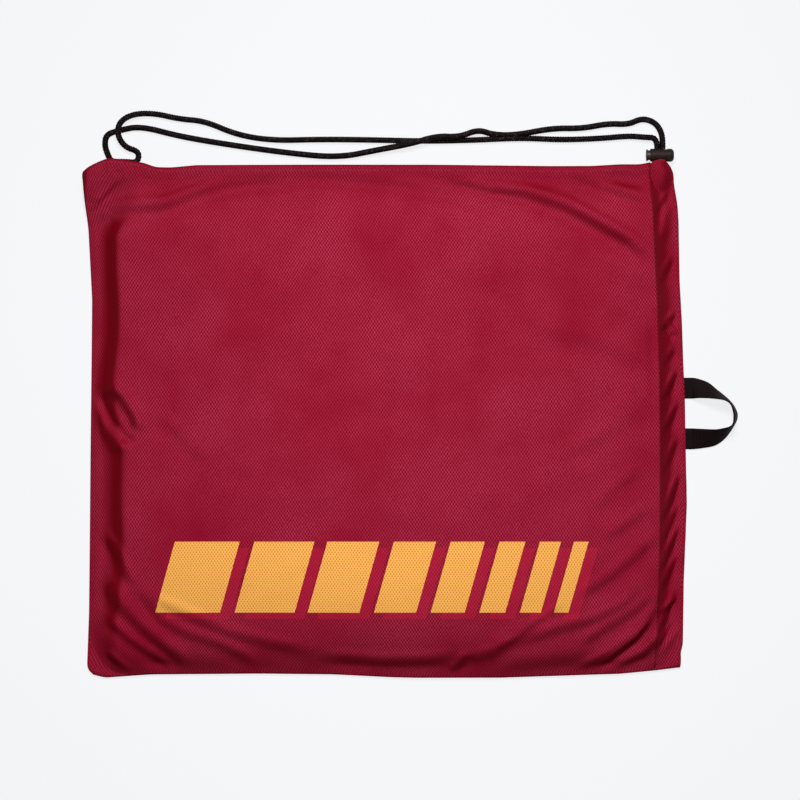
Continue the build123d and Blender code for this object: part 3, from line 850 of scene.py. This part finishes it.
def tunnel_height(x):
    """The middle of the front tunnel, which sinks towards both of its ends."""
    return edge(TUNNEL_HEIGHTS, x)


def panel_plan(up, across, right_line, start_top, highest):
    """Where the points of a panel lie, and its low edge: between the side lines, up to the tunnel."""
    up, across = up[:, None], across[None, :]

    def between_sides(y):
        left = smooth_edge(LEFT_EDGE, y)
        return left + across * (smooth_edge(right_line, y) - left)

    x = between_sides(START_BOTTOM + up * (start_top - START_BOTTOM))
    low = smooth_edge(BOTTOM_EDGE, x)
    high = np.minimum(smooth_edge(TOP_EDGE, x), highest) - TUNNEL / 2
    y = low + up * (high - low)
    return between_sides(y), y, low


def tunnel_rows(last, half, turns, tucked_x, tuck, rise):
    """Rows that turn half round a tunnel, and then run back inside to where the hem is sewn."""
    x, y, z = last
    rows = []
    for angle in np.linspace(0.0, math.pi, turns + 1)[1:]:
        turned_y = y + TUNNEL / 2 * math.sin(angle)
        rows.append(np.stack([x, turned_y, z + half * (1 - math.cos(angle))], axis=-1))
    for step in INSIDE_STEPS:
        rows.append(np.stack([tucked_x, y - tuck * step, z + 2 * half + rise * step], axis=-1))
    return np.array(rows)


up_share = graded(472, (1.85, 5.0), (46, 44))
across_share = graded(540, (1.85, 5.0), (48, 52))
front_x, front_y, _ = panel_plan(up_share, across_share, SEAM_LINE, 230.0, math.inf)
plain_z = plateau_height(front_x, front_y)
from_mouth = smooth_edge(TOP_EDGE, front_x) - front_y
slow_rise = 34 * np.clip((-238 - front_x) / 32, 0.0, 1.0)
to_tunnel = np.clip((24 + slow_rise - from_mouth) / (14 + slow_rise), 0.0, 1.0)
to_tunnel = to_tunnel**2 * (3 - 2 * to_tunnel)
plain_z = plain_z * (1 - to_tunnel) + (tunnel_height(front_x) + TUNNEL_HALF) * to_tunnel
groove = (TUNNEL + 0.5 - from_mouth) / 1.7
seam_off = smooth_edge(SEAM_LINE, front_y) - front_x
pucker = np.cos(front_y * 2 * math.pi / 3.7 + 1.4 * np.sin(front_y / 11.0))
pucker = pucker * np.exp(-((seam_off / 4.5) ** 2))
front_z = plain_z + front_lift(front_x, front_y) * (1 - 0.6 * to_tunnel)
front_z = front_z - 0.4 * np.exp(-(groove**2)) - 1.0 * np.exp(-((seam_off / 1.3) ** 2)) + 0.28 * pucker
front_z = FOOT + np.logaddexp(0.0, (front_z - FOOT) / 0.5) * 0.5

last = front_x[-1], front_y[-1], front_z[-1]
tucked_x = last[0] + 2.5 * np.exp(-(last[0] - last[0][0]) / 4.0)
hem = tunnel_rows(last, -TUNNEL_HALF, 12, tucked_x, HEM_INSIDE, 1.2)
front_sheet = np.concatenate([np.stack([front_x, front_y, front_z], axis=-1), hem])
plain_sheet = np.concatenate([np.stack([front_x, front_y, plain_z], axis=-1), hem])
front_uv = cloth_lengths(plain_sheet, len(up_share) // 2, len(across_share) // 2)
print("front sheet", front_sheet.shape[:2])

front_cloth = skin("front_cloth", front_sheet, front_uv, printed)
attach(front_cloth, "bag")
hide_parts("front_panel", "front_casing")

# %% [markdown]
# ## The side gusset
#
# A narrow strip closes the side that has the loop. It drops steeply from the seam and flares out to the
# table, and it is gathered into slanting ribs where the seam pulls it. At the mouth it is drawn up into
# a peak that covers the edge of the cord lock.

# %% The gusset's rows
SIDE_FOLDS = (
    (3, 1.8, (262, 92), (270, 84), (277, 80)),
    (2.6, 1.6, (256, 84), (266, 92), (278, 104)),
    (2.6, 1.2, (259, 52), (266, 58), (276, 70)),
    (3, 2.4, (261, 18), (268, 30), (279, 50)),
    (2.8, 1.8, (261, -14), (269, 0), (280, 20)),
    (2.8, 1.6, (260, -52), (267, -38), (279, -14)),
    (3.2, 2.6, (259, -100), (266, -84), (282, -46)),
    (2.8, 1.8, (257, -122), (266, -104), (281, -74)),
    (3, 2.6, (257, -146), (265, -130), (281, -96)),
    (2.8, 2.2, (256, -168), (264, -152), (279, -124)),
    (2.4, 1.8, (258, -186), (264, -178), (272, -172), (281, -174)),
    (2.8, 2.2, (255, -206), (263, -190), (279, -158)),
    (2.4, -1.4, (257, -222), (266, -208), (280, -188)),
    (2.8, 1.4, (256, 126), (263, 138), (275, 158)),
    (3.4, -2.4, (254, 166), (259, 184), (264, 214)),
    (2.4, 1.2, (254, 196), (262, 206), (272, 224)),
)
PEAK_FOOT = 222.0
CORD_EXIT_Y = 236.5
up_side = np.concatenate([np.linspace(-236.4, PEAK_FOOT, 240), np.linspace(224.0, 244.0, 14)])
seam_x = smooth_edge(SEAM_LINE, up_side)
seam_start = np.stack([seam_x, up_side], axis=-1)
far = np.stack([smooth_edge(RIGHT_EDGE, np.minimum(up_side, PEAK_FOOT)), up_side], axis=-1)
peak = np.array([
    (273, 224), (273.2, 229), (272.8, 234.5), (270.6, 239.8),
    (266.6, 244.8), (262.6, 247.9), (258.6, 247.8), (253.6, 246.3),
])
peak_at = np.linspace(0.0, 1.0, len(peak))
top_share = np.clip((up_side - PEAK_FOOT) / 22.0, 0.0, 1.0)
for k in range(2):
    far[:, k] = np.where(top_share > 0, np.interp(top_share, peak_at, peak[:, k]), far[:, k])
far[:, 1] = far[:, 1] + 3.2 * np.clip((-200 - up_side) / 36.4, 0.0, 1.0)

strip_share = np.linspace(0.0, 1.0, 30)
side_sheet = np.zeros((len(up_side), len(strip_share), 3))
across = strip_share[None, :, None]
side_sheet[:, :, :2] = seam_start[:, None] * (1 - across) + far[:, None] * across
side_x, side_y = side_sheet[:, :, 0], side_sheet[:, :, 1]
seam_z = np.interp(seam_start[:, 1], front_y[:, -1], front_z[:, -1])
edge_z = FOOT + 11.2 * np.clip((top_share - 0.15) / 0.5, 0.0, 1.0) ** 2
drop = (1 - strip_share[None, :]) ** 2.3
side_z = edge_z[:, None] + (np.maximum(seam_z, edge_z + 1.0)[:, None] - edge_z[:, None]) * drop
fade = np.sin(np.clip(strip_share, 0.0, 1.0) * math.pi)[None, :] ** 0.5
side_z = side_z + lift_by(SIDE_FOLDS, side_x, side_y, ends=0.3) * fade
below_cord = np.where(side_y < CORD_EXIT_Y, 24.0, 11.0)
over_cord = ((side_x - 258) / 12) ** 2 + ((side_y - CORD_EXIT_Y) / below_cord) ** 2
over_cord = 15.6 * np.exp(-(over_cord**1.5))
side_z = np.logaddexp(side_z / 0.8, over_cord / 0.8) * 0.8
side_sheet[:, :, 2] = FOOT + np.logaddexp(0.0, (side_z - FOOT) / 0.4) * 0.4
side_uv = cloth_lengths(side_sheet, len(up_side) // 2, 0)
side_uv[:, :, 1] = side_y

gusset_cloth = skin("gusset_cloth", side_sheet, side_uv, knit, steep_shade_strength=0.75)
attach(gusset_cloth, "bag")
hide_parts("side_gusset", "corner_gather")

# %% [markdown]
# ## The back cloth
#
# The back lies on the table. It carries no print, touches the table over most of its area, and lifts a
# little at the seams. At the mouth it turns round its own tunnel, as the front does.

# %% The back cloth's rows
BACK_TUNNEL_HALF = 3.4
BACK_TUNNEL_END = 0.7
BACK_HEM_INSIDE = 14.0
back_share_x = graded(560, (3.0, 8.0), (40, 40))
back_share_y = graded(480, (3.0, 8.0), (40, 40))
back_x, back_y, low_y = panel_plan(back_share_y, back_share_x, RIGHT_EDGE, 236.0, 242.0)
from_left = back_x - smooth_edge(LEFT_EDGE, back_y)
from_right = smooth_edge(RIGHT_EDGE, back_y) - back_x
from_edge = np.minimum(np.minimum(from_left, from_right), back_y - low_y)
lifted = np.exp(-np.power(np.maximum(from_edge, 0.0) / 4.5, 1.6))
ripple = 0.5 + 0.5 * wave_noise(back_x, back_y, 40.0, 21)
back_z = 0.3 + (FOOT - 0.5) * lifted + 0.35 * np.clip(ripple, 0.0, 2.0) * (1 - lifted)
last = back_x[-1], back_y[-1], back_z[-1]
from_end = np.minimum(last[0] - last[0][0], last[0][-1] - last[0])
half_at = BACK_TUNNEL_END + (BACK_TUNNEL_HALF - BACK_TUNNEL_END) * np.clip(from_end / 14.0, 0.0, 1.0) ** 0.7
tucked_x = last[0] + np.sign(-last[0]) * 3.0 * np.exp(-from_end / 4.0)
hem = tunnel_rows(last, half_at, 10, tucked_x, BACK_HEM_INSIDE, -1.06 * half_at)
back_sheet = np.concatenate([np.stack([back_x, back_y, back_z], axis=-1), hem])[:, ::-1]
back_uv = cloth_lengths(back_sheet, len(back_share_y) // 2, len(back_share_x) // 2)
back_cloth = skin("back_cloth", back_sheet, back_uv, knit)
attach(back_cloth, "bag")
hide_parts("back_panel", "back_casing")

# %% [markdown]
# ## Rows of stitches
#
# Every stitch of a row is the same small piece of thread, so Geometry Nodes lays them: the line of the
# row becomes a curve, the curve is cut at even steps, and a thread bead lies along the curve at each
# step. A fixed seed makes the beads a little unequal. The result is turned into a plain mesh.

# %% Sewing
STITCH_UNEVENNESS = 0.15


def stitch_group():
    """The node group that lays a bead of thread at even steps along a line."""
    group = bpy.data.node_groups.new("stitch_row", "GeometryNodeTree")
    face = group.interface
    face.new_socket(name="Line", in_out="INPUT", socket_type="NodeSocketGeometry")
    for label in ("Spacing", "Length", "Thickness", "Unevenness"):
        face.new_socket(name=label, in_out="INPUT", socket_type="NodeSocketFloat")
    face.new_socket(name="Seed", in_out="INPUT", socket_type="NodeSocketInt").default_value = 7
    face.new_socket(name="Thread", in_out="INPUT", socket_type="NodeSocketMaterial")
    face.new_socket(name="Stitches", in_out="OUTPUT", socket_type="NodeSocketGeometry")

    parts = Graph(group)
    given = parts.node("NodeGroupInput").outputs
    curve = parts.node("GeometryNodeMeshToCurve", {"Mesh": given["Line"]}).outputs[0]
    cut = parts.node("GeometryNodeResampleCurve", {"Curve": curve, "Length": given["Spacing"]}, mode="LENGTH")
    tangent = parts.node("GeometryNodeInputTangent").outputs[0]
    lie = parts.node("FunctionNodeAlignRotationToVector", {"Vector": tangent}, axis="X")
    ball = parts.node("GeometryNodeMeshUVSphere", {"Segments": 8, "Rings": 6, "Radius": 0.5})
    size = {"X": given["Length"], "Y": given["Thickness"], "Z": given["Thickness"]}
    size = parts.node("ShaderNodeCombineXYZ", size).outputs[0]
    bead = parts.node("GeometryNodeTransform", {"Geometry": ball.outputs["Mesh"], "Scale": size})
    least = parts.math("SUBTRACT", 1.0, given["Unevenness"])
    most = parts.math("ADD", 1.0, given["Unevenness"])
    chance = {2: least, 3: most, "Seed": given["Seed"]}
    chance = parts.node("FunctionNodeRandomValue", chance, data_type="FLOAT")
    laid = {"Points": cut.outputs[0], "Instance": bead.outputs[0]}
    laid.update({"Rotation": lie.outputs[0], "Scale": chance.outputs[1]})
    row = parts.node("GeometryNodeInstanceOnPoints", laid).outputs[0]
    for kind in ("GeometryNodeRealizeInstances", "GeometryNodeSetShadeSmooth"):
        row = parts.node(kind, {"Geometry": row}).outputs[0]
    row = parts.node("GeometryNodeSetMaterial", {"Geometry": row, "Material": given["Thread"]}).outputs[0]
    parts.node("NodeGroupOutput", {"Stitches": row})
    return group


STITCH_GROUP = stitch_group()


def sew(name, line, spacing, length, thickness):
    """Lays stitches along a line of points in millimetres and gives them as one object."""
    line = np.asarray(line) * MM
    guide = bpy.data.meshes.new(name + "_guide")
    guide.from_pydata(line.tolist(), [(k, k + 1) for k in range(len(line) - 1)], [])
    row = new_object(name + "_guide", guide)
    modifier = row.modifiers.new("stitches", "NODES")
    modifier.node_group = STITCH_GROUP
    values = {"Spacing": spacing * MM, "Length": length * MM, "Thickness": thickness * MM}
    values.update({"Unevenness": STITCH_UNEVENNESS, "Thread": thread.material})
    for item in STITCH_GROUP.interface.items_tree:
        if item.in_out == "INPUT" and item.name in values:
            modifier[item.identifier] = values[item.name]
    row.update_tag()
    graph = bpy.context.evaluated_depsgraph_get()
    mesh = bpy.data.meshes.new_from_object(row.evaluated_get(graph))
    mesh.name = name
    bpy.data.objects.remove(row)
    sewn = new_object(name, mesh)
    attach(sewn, "bag")
    print(name, "faces", len(mesh.polygons))
    return sewn


mouth_x = front_x[-1]
below = np.interp(mouth_x, (-265.0, -215.0, -150.0), (3.6, 3.6, 5.6))
turned = np.arcsin(np.clip((TUNNEL / 2 - below) / (TUNNEL / 2), -1.0, 1.0))
mouth_y = front_y[-1] + TUNNEL / 2 * np.sin(turned)
mouth_z = front_z[-1] - TUNNEL_HALF * (1 - np.cos(turned)) + 0.12
mouth_line = np.stack([mouth_x, mouth_y, mouth_z], axis=-1)
mouth_line = mouth_line[(mouth_x > -268) & (mouth_x < 249)]
sew("mouth_stitches", mouth_line, 3.7, 2.7, 0.7)

seam_line = []
for row_x, row_y, row_z in zip(front_x[3:-6], front_y[3:-6], front_z[3:-6]):
    at_x = row_x[-1] - 1.7
    seam_line.append((at_x, np.interp(at_x, row_x, row_y), np.interp(at_x, row_x, row_z) + 0.02))
sew("seam_stitches", seam_line, 3.7, 2.3, 0.42)

back_line = np.stack([back_x[-1], back_y[-1] - 6.0, back_z[-1] - 0.05], axis=-1)[3:-3]
sew("back_stitches", back_line, 3.7, 2.7, 0.6)

# %% [markdown]
# ## The loop of webbing
#
# A short loop of flat webbing is sewn into the side seam by both ends. It leaves the seam lying flat,
# rolls up on its edge at the turn and lies flat again. The tape is a flat section carried along the
# loop's outer edge, leaning more the nearer it comes to the turn.

# %% The webbing loop
HINGE_X = 286.4
LOOP_MIDDLE = 7.15
TAPE_WIDTH = 20.0
TAPE = 1.6
LOOP_RINGS = 145
LOOP_EDGES = (
    ((-14, 34.05), (-14, 14.05)), ((-7, 34.05), (-7, 14.05)), ((0, 34.05), (0, 14.05)),
    ((5, 34), (5, 14.1)), ((10, 33.1), (9.6, 14.5)), ((19.4, 29.6), (17.6, 14.4)),
    ((27.9, 22.5), (26.4, 13.8)), ((33.8, 17.5), (33.3, 12.8)), ((38.9, 12.9), (38, 10.3)),
    ((43.6, 7.4), (40.4, 6.2)), ((46.6, 1.4), (41.9, -0.2)), ((47.1, -2.2), (42, -3.6)),
    ((46.1, -6.8), (41.6, -8.8)), ((40.6, -16.6), (39.2, -11.8)), ((33.8, -25.2), (34.2, -13.4)),
    ((25.3, -30.8), (25.6, -14.8)), ((14.3, -33), (14.4, -14.5)), ((5, -34), (5, -14.1)),
    ((0, -34.05), (0, -14.05)), ((-7, -34.05), (-7, -14.05)), ((-14, -34.05), (-14, -14.05)),
)
TAPE_FLAT = (
    (0.02, 0.2), (0.06, 0), (0.2, 0), (0.35, 0), (0.5, 0), (0.65, 0), (0.8, 0), (0.94, 0), (0.98, 0.2),
)
TAPE_SECTION = ((0, 0.5), *TAPE_FLAT, (1, 0.5), *((share, 1 - depth) for share, depth in TAPE_FLAT[::-1]))


def smooth_through(values, count):
    """A smooth line through values that stand at equal steps."""
    values = np.asarray(values, dtype=float)
    at = np.linspace(0.0, len(values) - 1.0, count)
    low = np.clip(np.floor(at).astype(int), 0, len(values) - 2)
    t = (at - low)[:, None]
    before = values[np.maximum(low - 1, 0)]
    first = values[low]
    second = values[low + 1]
    after = values[np.minimum(low + 2, len(values) - 1)]
    return 0.5 * (
        2 * first
        + (second - before) * t
        + (2 * before - 5 * first + 4 * second - after) * t**2
        + (3 * first - before - 3 * second + after) * t**3
    )


edges = [smooth_through([pair[side] for pair in LOOP_EDGES], LOOP_RINGS) for side in (0, 1)]
outer_plan, inner_plan = np.array(edges) + (HINGE_X, LOOP_MIDDLE)
rise = np.sqrt(np.maximum(TAPE_WIDTH**2 - np.sum((inner_plan - outer_plan) ** 2, axis=1), 0.0))
ring_number = np.arange(LOOP_RINGS)
root_lift = 0.4 * (1 - np.clip(np.minimum(ring_number, ring_number[::-1]) / 14.0, 0.0, 1.0))
outer_edge = np.column_stack([outer_plan, 1.0 + root_lift])
inner_edge = np.column_stack([inner_plan, 1.0 + root_lift + rise])
across = (inner_edge - outer_edge) / TAPE_WIDTH
face = np.cross(np.gradient(outer_edge, axis=0), across)
face /= np.linalg.norm(face, axis=1)[:, None]
loop_run = np.concatenate([[0.0], np.cumsum(np.linalg.norm(np.diff(outer_edge, axis=0), axis=1))])
breadth, depth = np.array(TAPE_SECTION).T * [[TAPE_WIDTH], [TAPE]]
tape_points = outer_edge[:, None] + across[:, None] * breadth[:, None]
tape_points = tape_points + face[:, None] * (depth - TAPE / 2)[:, None]
loop_uv = np.stack(np.broadcast_arrays(breadth, loop_run[:, None]), axis=-1)
sides = len(TAPE_SECTION)
faces = tube_faces(len(loop_run), sides).tolist()
faces.append(list(range(sides - 1, -1, -1)))
faces.append(list(range((len(loop_run) - 1) * sides, len(loop_run) * sides)))
webbing_loop = link_mesh("webbing_loop", tape_points.reshape(-1, 3), faces, tape, loop_uv.reshape(-1, 2))
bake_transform(webbing_loop)
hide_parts("handle_loop", "handle_upper_end", "handle_lower_end")
